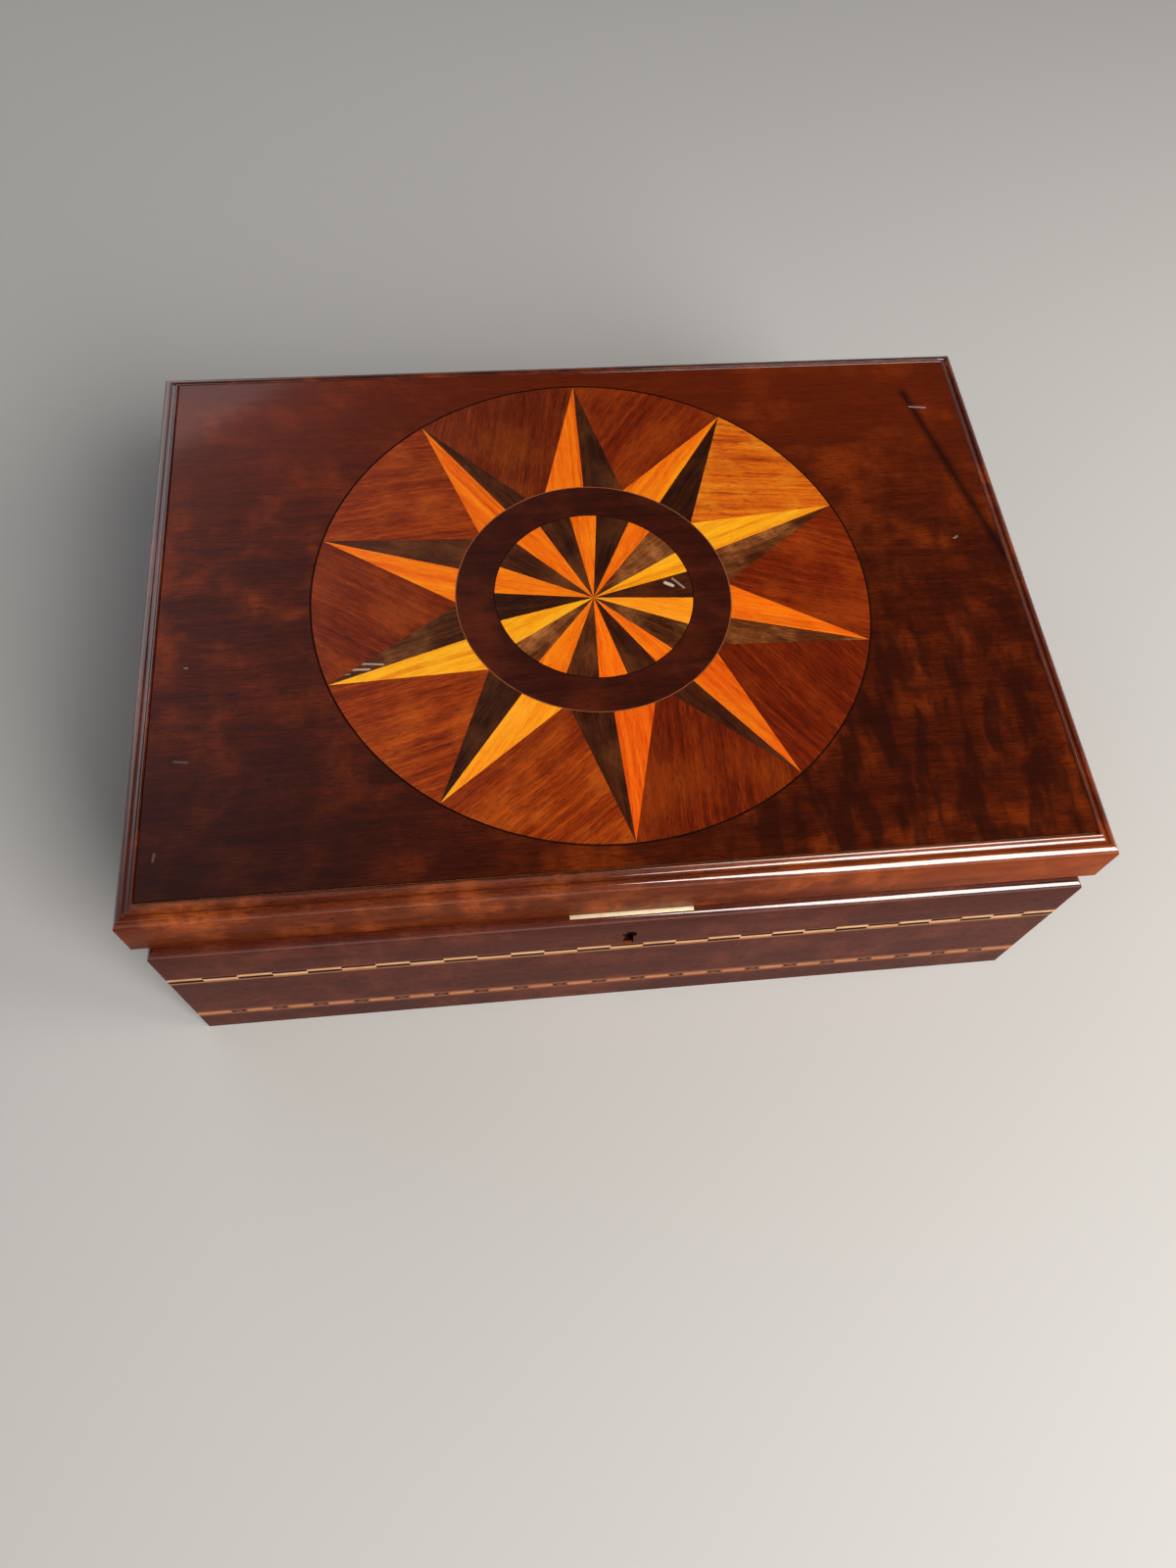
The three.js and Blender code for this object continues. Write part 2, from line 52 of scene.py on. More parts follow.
def span(*nodes):
    """Lowest and highest corner of several CAD nodes together."""
    corners = [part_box(node) for node in nodes]
    low = Vector([min(c[0][i] for c in corners) for i in range(3)])
    high = Vector([max(c[1][i] for c in corners) for i in range(3)])
    return low, high


def centre_of(node):
    low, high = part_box(node)
    return (low + high) / 2


def disc(node):
    """Centre and radius of a round piece of marquetry, out to the middle of the gap round it."""
    low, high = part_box(node)
    return centre_of(node), (high.x - low.x) / 2 + HALF_GAP


def depth(node):
    """Size of a piece from front to back."""
    low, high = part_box(node)
    return high.y - low.y


SIDES = ("front", "back", "left", "right")
BASE_LOW, BASE_HIGH = span(*[f"{side}_wall" for side in SIDES])
LID_LOW, LID_HIGH = span(*[f"lid_rail_{side}" for side in SIDES], "panel_ground")
PANEL_LOW, PANEL_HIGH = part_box("panel_ground")
WALL = depth("front_wall")
BAND_THICK = depth("upper_band_front")
STAR, STAR_R = disc("sector_field")
RING, RING_OUT = disc("ring")
RING_IN = disc("rosette")[1]

POINTS = 10
STEP = 360 / POINTS
FIRST_POINT = 90.9               # degrees, then clockwise


# ---------------------------------------------------------------- camera, floor and lights

LID_TOP = Vector((0, (LID_LOW.y + LID_HIGH.y) / 2, LID_HIGH.z))


def camera():
    """Close to the lid, above its front left, and turned a little."""
    data = bpy.data.cameras.new("camera")
    data.lens = 25.47
    data.sensor_width = 36
    data.clip_start = 0.01
    data.clip_end = 20
    eye = bpy.data.objects.new("camera", data)
    eye.location = LID_TOP + Vector((-0.0430, -0.2284, 0.3058))
    eye.rotation_euler = Euler([math.radians(a) for a in (27.14, -2.96, -5.777)])
    bpy.context.scene.collection.objects.link(eye)
    bpy.context.scene.camera = eye


def lamp(name, place, aim, size, power, colour=(1, 1, 1)):
    """A soft box of that width and height at a place, aimed at a point."""
    data = bpy.data.lights.new(name, "AREA")
    data.shape = "RECTANGLE"
    data.size, data.size_y = size
    data.energy = power
    data.color = colour
    light = bpy.data.objects.new(name, data)
    light.location = place
    light.rotation_euler = (Vector(aim) - Vector(place)).to_track_quat("-Z", "Y").to_euler()
    bpy.context.scene.collection.objects.link(light)


def studio():
    """A pale floor, the room round it and four lamps."""
    mesh = bpy.data.meshes.new("floor")
    half = 3
    corners = [(-half, -half, 0), (half, -half, 0), (half, half, 0), (-half, half, 0)]
    mesh.from_pydata(corners, [], [(0, 1, 2, 3)])
    floor = bpy.data.objects.new("floor", mesh)
    bpy.context.scene.collection.objects.link(floor)
    material = bpy.data.materials.new("floor_paper")
    material.use_nodes = True
    shader = material.node_tree.nodes["Principled BSDF"]
    shader.inputs["Base Color"].default_value = (0.5, 0.49, 0.475, 1)
    shader.inputs["Roughness"].default_value = 0.9
    mesh.materials.append(material)

    sky()
    bpy.context.scene.view_settings.view_transform = "Standard"
    lamp("window", (0.61, -0.98, 0.89), (0.05, -0.1, 0.09), (0.66, 1.1), 27, (1, 0.97, 0.93))
    lamp("right", (1.05, -0.3, 0.6), (0.05, 0, 0.08), (0.5, 0.5), 7, (1, 0.95, 0.88))
    lamp("fill", (-1.3, -0.9, 1.2), (0, 0, 0.05), (1.2, 1.2), 4, (1, 0.97, 0.94))
    lamp("back", (-1, 1.2, 0.6), (0, 0, 0.05), (1.5, 1.5), 5, (0.95, 0.97, 1))


def sky():
    """A dark room with pale walls low down, and a paler one behind it to the left, which the lid's
    polish picks up."""
    world = bpy.data.worlds.new("studio")
    world.use_nodes = True
    tree = world.node_tree
    parts = tree.nodes.new("ShaderNodeSeparateXYZ")
    tree.links.new(tree.nodes.new("ShaderNodeTexCoord").outputs["Generated"], parts.inputs[0])

    def share(axis, low, high):
        made = tree.nodes.new("ShaderNodeMapRange")
        made.interpolation_type = "SMOOTHSTEP"
        made.inputs["From Min"].default_value = low
        made.inputs["From Max"].default_value = high
        tree.links.new(parts.outputs[axis], made.inputs["Value"])
        return made.outputs["Result"]

    def blend(a, b, c):
        """a times b plus c."""
        made = tree.nodes.new("ShaderNodeMath")
        made.operation = "MULTIPLY_ADD"
        for socket, value in zip(made.inputs, (a, b, c)):
            if isinstance(value, bpy.types.NodeSocket):
                tree.links.new(value, socket)
            else:
                socket.default_value = value
        return made.outputs[0]

    rear_left = blend(share("X", 0.12, -0.45), share("Y", 0.1, 0.6), 0)
    walls = blend(share("Z", 0.55, 0.15), 0.2, 0.03)
    back = tree.nodes["Background"]
    back.inputs["Color"].default_value = (0.86, 0.9, 1, 1)
    tree.links.new(blend(rear_left, 0.33, walls), back.inputs["Strength"])
    bpy.context.scene.world = world


# ---------------------------------------------------------------- node helpers

class Graph:
    """A material's node tree, with short calls for the nodes that the finishes use."""

    def __init__(self, name):
        self.material = bpy.data.materials.new(name)
        self.material.use_nodes = True
        self.tree = self.material.node_tree
        self.shader = self.tree.nodes["Principled BSDF"]
        self.fibre = None        # a wood's fine fibre, for the marks that follow it

    def node(self, kind, **settings):
        made = self.tree.nodes.new(kind)
        for key, value in settings.items():
            setattr(made, key, value)
        return made

    def link(self, source, target):
        self.tree.links.new(source, target)

    def feed(self, socket, value):
        """Links a socket, or sets a plain value."""
        if isinstance(value, bpy.types.NodeSocket):
            self.link(value, socket)
        else:
            socket.default_value = value

    def place(self):
        """Where a point is on the closed box, in mm."""
        return self.scaled(self.node("ShaderNodeTexCoord").outputs["Object"], (1000, 1000, 1000))

    def split(self, vector):
        parts = self.node("ShaderNodeSeparateXYZ")
        self.link(vector, parts.inputs[0])
        return parts

    def stroke(self, start, end, width):
        """1 on a straight line between two points of the lid, in mm, falling to 0 at its edges."""
        place = self.vmath("MULTIPLY", self.place(), (1, 1, 0))
        run = Vector((end[0] - start[0], end[1] - start[1], 0))
        offset = self.vmath("SUBTRACT", place, (start[0], start[1], 0))
        along = self.math("ADD", self.vmath("DOT_PRODUCT", offset, tuple(run / run.length_squared)), 0, True)
        away = self.vmath("LENGTH", self.vmath("SUBTRACT", offset, self.vmath("MULTIPLY", along, tuple(run))))
        return self.between(away, width * 0.2, width * 0.5, 1, 0)

    def attribute(self, name, output="Vector"):
        return self.node("ShaderNodeAttribute", attribute_name=name).outputs[output]

    def scaled(self, vector, scale, shift=(0, 0, 0)):
        mapping = self.node("ShaderNodeMapping")
        self.link(vector, mapping.inputs["Vector"])
        mapping.inputs["Scale"].default_value = scale
        mapping.inputs["Location"].default_value = shift
        return mapping.outputs["Vector"]

    def noise(self, vector, scale=1.0, detail=2.0, rough=0.5, output="Fac"):
        noise = self.node("ShaderNodeTexNoise")
        self.link(vector, noise.inputs["Vector"])
        noise.inputs["Scale"].default_value = scale
        noise.inputs["Detail"].default_value = detail
        noise.inputs["Roughness"].default_value = rough
        return noise.outputs[output]

    def math(self, operation, a, b=0.0, clamp=False):
        made = self.node("ShaderNodeMath", operation=operation, use_clamp=clamp)
        self.feed(made.inputs[0], a)
        self.feed(made.inputs[1], b)
        return made.outputs[0]

    def vmath(self, operation, a, b=(0, 0, 0)):
        made = self.node("ShaderNodeVectorMath", operation=operation)
        self.feed(made.inputs[0], a)
        self.feed(made.inputs[1], b)
        return made.outputs["Value" if operation in ("LENGTH", "DOT_PRODUCT") else "Vector"]

    def between(self, value, low, high, to_low=0.0, to_high=1.0, smooth=True):
        """Maps low..high to to_low..to_high, clamped, with a soft start and end."""
        made = self.node("ShaderNodeMapRange", interpolation_type="SMOOTHSTEP" if smooth else "LINEAR")
        self.feed(made.inputs["Value"], value)
        made.inputs["From Min"].default_value = low
        made.inputs["From Max"].default_value = high
        made.inputs["To Min"].default_value = to_low
        made.inputs["To Max"].default_value = to_high
        return made.outputs["Result"]

    def ramp(self, value, *stops):
        made = self.node("ShaderNodeValToRGB")
        self.link(value, made.inputs["Fac"])
        elements = made.color_ramp.elements
        while len(elements) < len(stops):
            elements.new(0.5)
        for element, (position, colour) in zip(elements, stops):
            element.position = position
            element.color = (*colour, 1)
        return made.outputs["Color"]

    def mix(self, share, a, b, blend="MIX"):
        made = self.node("ShaderNodeMix", data_type="RGBA", blend_type=blend)
        self.feed(made.inputs["Factor"], share)
        for socket, value in ((made.inputs["A"], a), (made.inputs["B"], b)):
            self.feed(socket, value if isinstance(value, bpy.types.NodeSocket) else (*value, 1))
        return made.outputs["Result"]

    def bump(self, height, strength, distance, layer="Normal"):
        made = self.node("ShaderNodeBump")
        made.inputs["Strength"].default_value = strength
        made.inputs["Distance"].default_value = distance
        self.link(height, made.inputs["Height"])
        self.link(made.outputs["Normal"], self.shader.inputs[layer])


# ---------------------------------------------------------------- finishes

def wood(name, deep, body, bright, glow, mottle=0.5, streak=0.22, pores=0.5, polish=0.8, rough=0.2,
         shine=0.3, figure=None, grit=0.5, gloss=None, coat=1.5, shade=None):
    """Polished wood. It reads each vertex's place in its own plank, in mm along the grain, across and
    through it, from the attribute grain, and the plank's tint from the attribute tint, on some pieces
    painted sheen and shade. Above the height gloss, in mm, the polish is full. coat is the polish's
    refractive index, and shade adds a piece's marks to the colour, painted highlights and shade among them."""
    g = Graph(name)
    place = g.attribute("grain")
    wander = g.noise(g.scaled(place, (0.012, 0.03, 0.03)), output="Color")
    drift = g.vmath("SUBTRACT", wander, (0.5, 0.5, 0.5))
    plank = g.vmath("ADD", place, g.vmath("MULTIPLY", drift, (0, 8, 8)))

    rings = g.noise(g.scaled(plank, (0.008, streak, streak)), detail=5, rough=0.66)
    fibre = g.noise(g.scaled(plank, (0.16, 2.2, 2.2)), detail=4, rough=0.7)
    g.fibre = fibre
    cloud = g.noise(g.scaled(plank, (0.045, 0.06, 0.06), (3, 9, 4)), detail=4, rough=0.55)
    dash = g.noise(g.scaled(plank, (0.35, 3.2, 3.2), (5, 2, 8)), detail=1)
    pore = g.between(dash, 0.57, 0.68)

    mixed = g.math("ADD", g.math("MULTIPLY", rings, 1 - grit), g.math("MULTIPLY", fibre, grit))
    colour = g.ramp(mixed, (0.34, deep), (0.5, body), (0.66, bright))
    light = g.between(cloud, 0.42, 0.72)
    if figure:
        ripple = g.noise(g.scaled(plank, (figure, 0.035, 0.035), (7, 3, 1)), detail=4, rough=0.6)
        light = g.math("MULTIPLY", light, g.between(ripple, 0.34, 0.62, 0.25, 1.4))
        light = g.math("MULTIPLY", light, g.between(fibre, 0.3, 0.7, 0.6, 1.35))
    colour = g.mix(g.math("MULTIPLY", light, mottle, True), colour, glow)
    colour = g.mix(g.math("MULTIPLY", pore, pores), colour, tuple(c * 0.3 for c in deep))
    colour = g.mix(1.0, colour, g.attribute("tint", "Color"), "MULTIPLY")
    if shade:
        colour = shade(g, colour)
    g.link(colour, g.shader.inputs["Base Color"])

    g.link(g.math("ADD", g.math("MULTIPLY", pore, 0.12), g.between(fibre, 0.3, 0.7, rough, rough + 0.06)),
           g.shader.inputs["Roughness"])
    g.shader.inputs["Specular IOR Level"].default_value = shine
    g.shader.inputs["Coat Weight"].default_value = polish
    if gloss:
        height = g.split(g.place()).outputs["Z"]
        g.link(g.between(height, gloss - 0.8, gloss, polish, 1), g.shader.inputs["Coat Weight"])
    g.shader.inputs["Coat IOR"].default_value = coat
    g.shader.inputs["Coat Roughness"].default_value = 0.07
    g.bump(g.math("SUBTRACT", g.math("MULTIPLY", fibre, 0.3), pore), 0.08, 0.1 * MM)
    unevenness = g.noise(g.scaled(place, (0.12, 0.5, 0.5)), detail=2)
    g.bump(unevenness, 0.5 if gloss else 0.12, 0.06 * MM, "Coat Normal")
    return g.material


def metal(name, colour, stain, rough, share=1.0):
    """Old metal: tarnish in clouds, and fine wear. Below a share of 1 it has a dull skin."""
    g = Graph(name)
    place = g.node("ShaderNodeTexCoord").outputs["Object"]
    clouds = g.noise(g.scaled(place, (180, 180, 180)), detail=5, rough=0.65)
    wear = g.noise(g.scaled(place, (2500, 700, 700)), detail=2)
    g.link(g.mix(g.between(clouds, 0.42, 0.72), colour, stain), g.shader.inputs["Base Color"])
    g.link(g.math("ADD", g.between(clouds, 0.35, 0.7, rough, rough + 0.18), g.math("MULTIPLY", wear, 0.08)),
           g.shader.inputs["Roughness"])
    g.shader.inputs["Metallic"].default_value = share
    g.bump(wear, 0.08, 0.05 * MM)
    return g.material


# Marks on the lid, in mm: start, end, width and strength. The dark straight streak is a narrow stroke
# over a broad faint one.
DARK_STREAK = (((127, 86), (146, 5), 6, 0.4), ((127, 86), (146, 5), 2.4, 0.6))
NICKS = (((128, 78.6), (134, 77.8), 1, 0.45), ((129.3, 14.6), (130.6, 15.4), 1, 0.35),
         ((-136.4, -23), (-135.6, -23), 1, 0.25), ((-137.5, -57), (-133.5, -57.6), 1, 0.12),
         ((-141.5, -90), (-141.2, -87.5), 1, 0.12))
CHIPS = (((-80.5, -25), (-73.5, -25.7), 0.9, 0.5), ((-83.5, -27.1), (-77.9, -27.3), 0.9, 0.6),
         ((-86.2, -28.8), (-84.2, -28.8), 0.8, 0.25), ((22.9, 1.3), (25.2, 0), 1.7, 0.8),
         ((25.6, 2.9), (29, -1.1), 1.1, 0.35))


def marks(g, colour, strokes, tone):
    """Lays a tone over the colour along each stroke."""
    for start, end, width, strength in strokes:
        colour = g.mix(g.math("MULTIPLY", g.stroke(start, end, width), strength), colour, tone)
    return colour


def lid_ground(g, colour):
    """Marks on the lid: ripple at the front right, a painted highlight that makes the back redder,
    painted shade that darkens the front left, a dark straight streak and small pale nicks."""
    place = g.split(g.place())
    x, y = place.outputs["X"], place.outputs["Y"]
    dark = (0.012, 0.002, 0.001)
    wave = g.noise(g.scaled(g.place(), (0.13, 0.04, 0)), detail=3, rough=0.55)
    front_right = g.math("MULTIPLY", g.between(x, -10, 60), g.between(y, 60, -60))
    ripple = g.math("MULTIPLY", g.between(wave, 0.42, 0.6), front_right)
    colour = g.mix(g.math("MULTIPLY", ripple, 0.8), colour, (0.02, 0.003, 0.001))
    # Painted highlight: the back of the panel is made redder and lighter, as the light falls there.
    painted_light_rear = g.between(y, 10, 95)
    colour = g.mix(g.math("MULTIPLY", painted_light_rear, 0.35), colour, (0.19, 0.02, 0.0012))
    # Painted shade: the front left of the panel is darkened, where less light falls on it.
    painted_shade_front_left = g.math("MULTIPLY", g.between(x, 20, -130), g.between(y, -20, -95))
    colour = g.mix(g.math("MULTIPLY", painted_shade_front_left, 0.75), colour, dark)
    grain_line = g.between(g.fibre, 0.3, 0.46, 1, 0)
    colour = g.mix(g.math("MULTIPLY", grain_line, 0.35), colour, dark)
    colour = marks(g, colour, DARK_STREAK, (0.008, 0.002, 0.001))
    return marks(g, colour, NICKS, (0.5, 0.42, 0.38))


def scuffs(g, colour):
    """Pale chips in the dark woods, near the star's left tip and at the right of the rosette."""
    return marks(g, colour, CHIPS, (0.75, 0.55, 0.42))


def rail_tone_and_highlight(g, colour):
    """The front of the lid's frame is lighter and redder in patches towards the right: partly the wood's own
    colour, partly a painted highlight of the light from the right.
    """
    patch = g.between(g.noise(g.scaled(g.place(), (0.03, 0.03, 0.1)), detail=3), 0.35, 0.6, 0.3, 1)
    place = g.split(g.place())
    right = g.between(place.outputs["X"], 20, 130)
    front = g.between(place.outputs["Y"], -94, -104, 0, 0.4)
    # Partly painted highlight: the redder, lighter patches stand for the light from the right as well as the
    # wood's colour.
    return g.mix(g.math("MULTIPLY", patch, g.math("MULTIPLY", right, front)), colour, (0.34, 0.06, 0.008))


WOODS = {
    "ground": wood("flame_mahogany", (0.024, 0.003, 0.0008), (0.055, 0.0065, 0.001), (0.1, 0.013, 0.0014),
                   (0.2, 0.027, 0.002), mottle=0.65, streak=0.3, figure=0.08, rough=0.16, shine=0.2,
                   shade=lid_ground),
    "rail": wood("rail_mahogany", (0.06, 0.008, 0.0018), (0.12, 0.018, 0.003), (0.2, 0.034, 0.006),
                 (0.42, 0.08, 0.011), mottle=0.65, polish=0.0, shine=0.03, rough=0.36,
                 figure=0.1, gloss=LID_TOP.z / MM - 3, coat=1.8, shade=rail_tone_and_highlight),
    "carcase": wood("carcase_mahogany", (0.03, 0.0045, 0.002), (0.06, 0.0095, 0.0038), (0.09, 0.016, 0.0065),
                    (0.16, 0.034, 0.015), mottle=0.42, streak=0.16, polish=0.05, rough=0.38, shine=0.035,
                    figure=0.12, gloss=BASE_HIGH.z / MM - 1.1, coat=1.8),
    "sector": wood("sector_mahogany", (0.055, 0.0045, 0.0004), (0.16, 0.0145, 0.0007), (0.31, 0.04, 0.002),
                   (0.47, 0.078, 0.005), mottle=0.35, streak=0.55, grit=0.5),
    # Painted sheen: the second sector's striped mahogany, brighter and more orange where its grain catches
    # the light.
    "bright": wood("striped_mahogany_sheen", (0.2, 0.016, 0.001), (0.6, 0.1, 0.004), (0.85, 0.22, 0.008),
                   (0.95, 0.34, 0.015), mottle=0.5, streak=0.5, grit=0.3),
    "satin": wood("satinwood", (0.5, 0.045, 0.001), (0.86, 0.14, 0.002), (0.98, 0.27, 0.004),
                  (1.0, 0.32, 0.008), mottle=0.3, streak=0.42, pores=0.25, grit=0.35),
    # Painted sheen: the same satinwood, brighter and yellower where its grain catches the light.
    "yellow": wood("satinwood_sheen", (0.6, 0.12, 0.002), (0.93, 0.34, 0.006), (1.0, 0.52, 0.014),
                   (1.0, 0.62, 0.03), mottle=0.4, streak=0.42, pores=0.2, grit=0.35),
    "streaked": wood("streaked_rosewood", (0.015, 0.004, 0.0015), (0.09, 0.02, 0.004), (0.24, 0.06, 0.01),
                     (0.5, 0.17, 0.045), mottle=0.7, streak=0.5, figure=0.1, shade=scuffs),
    "rose": wood("rosewood", (0.007, 0.0022, 0.001), (0.038, 0.008, 0.0024), (0.095, 0.023, 0.0045),
                 (0.18, 0.052, 0.013), mottle=0.5, streak=0.35, shade=scuffs),
    "ring": wood("ring_mahogany", (0.018, 0.003, 0.001), (0.036, 0.005, 0.0016), (0.06, 0.009, 0.003),
                 (0.12, 0.018, 0.004), mottle=0.6, streak=0.3),
    "box": wood("boxwood", (0.4, 0.17, 0.07), (0.62, 0.32, 0.15), (0.75, 0.44, 0.24),
                (0.8, 0.5, 0.3), mottle=0.4, pores=0.3, polish=0.05, rough=0.38, shine=0.07),
    "line": wood("stringing", (0.006, 0.0015, 0.001), (0.012, 0.003, 0.0015), (0.02, 0.005, 0.0025),
                 (0.03, 0.008, 0.004), mottle=0.2, polish=0, rough=0.5, shine=0.03),
    "pine": wood("groundwork_pine", (0.26, 0.12, 0.05), (0.36, 0.18, 0.08), (0.46, 0.25, 0.12),
                 (0.5, 0.28, 0.14), mottle=0.2, pores=0.2, polish=0.0, rough=0.55),
}
BRASS = metal("old_brass", (0.9, 0.68, 0.36), (0.55, 0.36, 0.15), 0.3, 0.85)
WORN_BRASS = metal("worn_brass", (0.97, 0.83, 0.56), (0.7, 0.52, 0.27), 0.3, 0.35)
STEEL = metal("dull_iron", (0.36, 0.35, 0.34), (0.12, 0.09, 0.07), 0.34)


# ---------------------------------------------------------------- mesh helpers

CREASE = 35                      # degrees: edges that turn more than this look sharp
ARRIS = 0.6                      # radians: edges that turn more than this are eased
SHIFT = Vector((137.3, 71.9, 53.1))     # mm from one plank to the next in the woods' patterns


def piece(name, bm, material, body, replaces=(), sharp=CREASE):
    """Turns a bmesh into a piece that rides on a body."""
    bmesh.ops.recalc_face_normals(bm, faces=bm.faces)
    mesh = bpy.data.meshes.new(name)
    bm.to_mesh(mesh)
    bm.free()
    mesh.materials.append(material)
    made = bpy.data.objects.new(name, mesh)
    bpy.context.scene.collection.objects.link(made)
    soften(mesh, sharp)
    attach(made, body)
    if replaces:
        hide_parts(*replaces)
    return made


def soften(mesh, sharp):
    """Smooths the shading, but not across edges that turn more than this many degrees."""
    mesh.polygons.foreach_set("use_smooth", [True] * len(mesh.polygons))
    mesh.set_sharp_from_angle(angle=math.radians(sharp))


def grain(made, along, seed, tint=(1, 1, 1), per=None):
    """Stores each vertex's place in its plank, in mm, and the plank's tint. Every so many vertices
    start a new plank."""
    along = Vector(along).normalized()
    across = Vector((0, 0, 1)).cross(along).normalized()
    through = along.cross(across)
    values = []
    for v in made.data.vertices:
        plank = seed + (v.index // per if per else 0)
        values.extend(Vector((v.co.dot(along), v.co.dot(across), v.co.dot(through))) / MM + SHIFT * plank)
    stored = made.data.attributes.new("grain", "FLOAT_VECTOR", "POINT")
    stored.data.foreach_set("vector", values)
    tone = made.data.attributes.new("tint", "FLOAT_VECTOR", "POINT")
    tone.data.foreach_set("vector", list(tint) * len(made.data.vertices))
    return made


def heading(degrees):
    """A unit vector in the panel's plane."""
    return Vector((math.cos(math.radians(degrees)), math.sin(math.radians(degrees)), 0))


def prism(outline, z0, z1):
    """A bmesh between two heights over an outline of points in X and Y."""
    bm = bmesh.new()
    low = [bm.verts.new((p[0], p[1], z0)) for p in outline]
    high = [bm.verts.new((p[0], p[1], z1)) for p in outline]
    bm.faces.new(low[::-1])
    bm.faces.new(high)
    for i in range(len(outline)):
        j = (i + 1) % len(outline)
        bm.faces.new((low[i], low[j], high[j], high[i]))
    return bm


def annulus(outer, inner, z0, z1):
    """A flat ring between two outlines that have as many points."""
    bm = bmesh.new()
    rows = [[bm.verts.new((p[0], p[1], z)) for p in line] for line, z in
            ((outer, z1), (inner, z1), (inner, z0), (outer, z0))]
    for a, b in zip(rows, rows[1:] + rows[:1]):
        for i in range(len(outer)):
            j = (i + 1) % len(outer)
            bm.faces.new((a[i], a[j], b[j], b[i]))
    return bm


def is_arris(edge):
    return edge.calc_face_angle(0) > ARRIS


def bevel(bm, width, segments=2, chosen=is_arris):
    """Eases the edges that a test chooses."""
    edges = [edge for edge in bm.edges if chosen(edge)]
    bmesh.ops.bevel(bm, geom=edges, offset=width, segments=segments, profile=0.5, affect="EDGES",
                    clamp_overlap=True)
    return bm


def block(low, high):
    """A box between two corners."""
    bm = bmesh.new()
    bmesh.ops.create_cube(bm, size=1)
    for vertex in bm.verts:
        for i in range(3):
            vertex.co[i] = low[i] if vertex.co[i] < 0 else high[i]
    return bm


def from_cad(node):
    """The CAD node's own solid as a clean bmesh, with its flat faces whole again."""
    bm = bmesh.new()
    bm.from_mesh(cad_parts[node].data)
    bmesh.ops.remove_doubles(bm, verts=bm.verts, dist=0.001 * MM)
    bmesh.ops.dissolve_limit(bm, angle_limit=math.radians(1), verts=bm.verts, edges=bm.edges)
    return bm


def polar(centre, radius, degrees):
    """The point at a heading and a distance from a centre."""
    return Vector((centre.x, centre.y, 0)) + heading(degrees) * radius


def arc(centre, radius, start, end, steps=8):
    return [polar(centre, radius, start + (end - start) * i / steps) for i in range(steps + 1)]


def circle(centre, radius, steps=180):
    return arc(centre, radius, 0, 360, steps)[:-1]


# ---------------------------------------------------------------- marquetry

TOP = PANEL_HIGH.z
BED = PANEL_LOW.z
LINE = 0.65 * MM                 # dark line round the star's circle
PLAIN = (1, 1, 1)
# Painted sheen: a lighter tint for the sectors whose grain catches the light.
SHEEN_TINT = (1.45, 1.7, 1.6)
BROWN = (0.36, 0.22, 0.16)
# Each sector clockwise from the first point: its wood, its grain's heading, and its tint. The tints, and
# the bright wood of the second sector, are painted sheen and shade: each sector lighter or darker as the
# light falls along its grain.
SECTORS = (("sector", 52, (1, 0.95, 0.9)), ("bright", -3, PLAIN), ("sector", -20, (1, 0.9, 0.9)),
           ("sector", -56, (0.8, 0.7, 0.7)), ("sector", -92, (0.75, 0.68, 0.7)), ("sector", 38, SHEEN_TINT),
           ("sector", 16, SHEEN_TINT), ("sector", -33, (0.95, 1, 1.2)), ("sector", 5, SHEEN_TINT),
           ("sector", 78, (0.8, 0.9, 1)))
# The maker's hand in the star: each point's turn from its even place, and its dark half's width at the
# ring, in degrees.
TIPS = ((-2, 17), (-0.5, 17), (1, 17), (1, 14), (1, 11), (1, 17), (-0.5, 17), (1, 17), (1, 17), (-1, 11))
HALF_POINT = 17                  # a light half's width at the ring, in degrees
# Light halves in the satinwood with painted sheen.
SHEEN_POINTS = (2, 6, 7)
STREAKED_POINTS = (2, 3, 7)
# Tints of each point's light and dark half.
POINT_TINTS = ((PLAIN, PLAIN), ((1, 1.1, 1), (0.75, 0.7, 0.7)), (PLAIN, (0.9, 0.85, 0.8)),
               ((0.97, 0.9, 1), (0.9, 0.85, 0.8)), ((0.85, 0.7, 1), (0.8, 0.7, 0.8)),
               ((0.9, 0.66, 1), (0.9, 0.8, 0.8)), ((1, 0.8, 1), (0.9, 0.9, 0.9)), (PLAIN, (0.6, 0.6, 0.65)),
               (PLAIN, (1.3, 1.3, 1.4)), (PLAIN, (1.1, 1.1, 1.2)))
# The maker's hand in the rosette: each light wedge's turn past its point, and its width, in degrees.
WEDGES = ((0, 16), (1, 14), (1, 15), (1, 19), (1, 13), (4, 16), (5, 17), (6, 18), (4, 19), (1, 19))
# Light wedges in the satinwood with painted sheen.
SHEEN_WEDGES = (2, 3, 7)
STREAKED_WEDGES = (1, 3, 6)
# Tints of each light wedge and of the dark wedge that follows it.
WEDGE_TINTS = ((PLAIN, (0.7, 0.7, 0.7)), (PLAIN, PLAIN), (PLAIN, (1, 0.8, 0.8)),
               ((1, 0.75, 1), (0.6, 0.6, 0.6)), ((1, 0.9, 1), (1.3, 1.2, 1)),
               ((1, 0.85, 1), (1.4, 1.3, 1.1)), ((1, 1.1, 1), PLAIN), (PLAIN, (0.8, 0.8, 0.8)),
               ((1, 1.1, 1), (1.3, 1.3, 1.2)), (PLAIN, PLAIN))


def veneer(name, outline, kind, along, seed, tint, replaces):
    """A flat piece of marquetry, with its grain at a heading in degrees."""
    made = piece(name, prism(outline, BED, TOP), WOODS[kind], "lid", replaces)
    return grain(made, heading(along), seed, tint)


